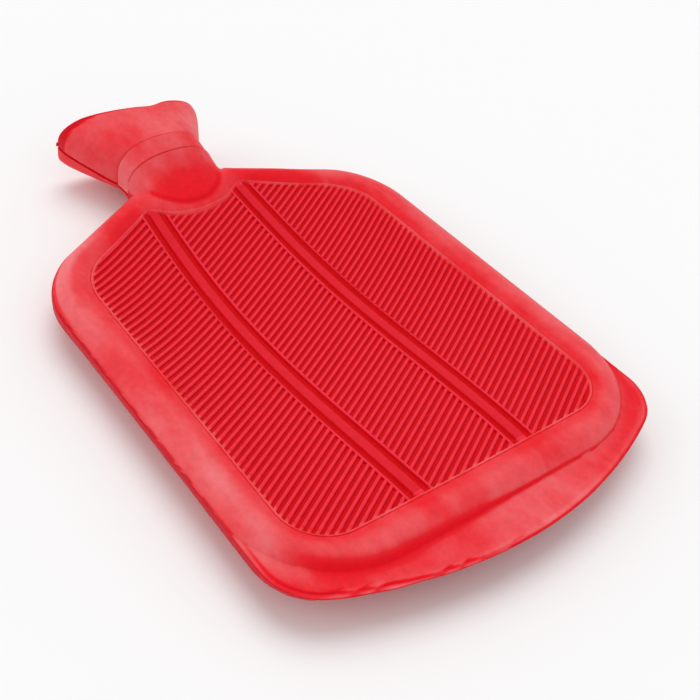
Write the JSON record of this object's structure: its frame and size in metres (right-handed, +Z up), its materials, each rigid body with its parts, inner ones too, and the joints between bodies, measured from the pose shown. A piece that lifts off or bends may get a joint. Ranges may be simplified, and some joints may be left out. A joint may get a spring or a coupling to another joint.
{
  "type": "hot water bottle",
  "caption": "Flat rubber hot water bottle with a ribbed, sunken front panel, smooth rounded margins, a wide base flange and a flared filling funnel with a screw stopper",
  "frame": {"origin": "Middle of the underside of the whole bottle's box: the bottle lies on its flat back at z = 0, and the origin is halfway along its length and width", "axes": "+Z up through the thickness, +Y from the base flange to the funnel, +X across the width"},
  "size_m": [0.205, 0.32, 0.0385],
  "materials": {
    "red_rubber": "satin vulcanised rubber with a faint pale bloom on the smooth margins",
    "socket_brass": "turned, slightly dulled",
    "washer_rubber": "matte",
    "stopper_plastic": "moulded, softly glossy"
  },
  "bodies": {
    "bottle": {"bottle_body": "red_rubber", "neck_socket": "socket_brass"},
    "washer": {"stopper_washer": "washer_rubber"},
    "stopper": {"stopper": "stopper_plastic"}
  },
  "joints": [
    {"name": "stopper_draw", "type": "slide", "parent": "bottle", "child": "washer", "axis": [0, 1, 0], "range_m": [0, 0.06]},
    {"name": "stopper_turn", "type": "hinge", "parent": "washer", "child": "stopper", "pos_m": [0, 0.126, 0.0211], "axis": [0, 1, 0], "range_deg": [0, 5410]}
  ],
  "couplings": [
    {"joint": "stopper_turn", "follows": "stopper_draw", "rad_per_m": 1570.8}
  ]
}
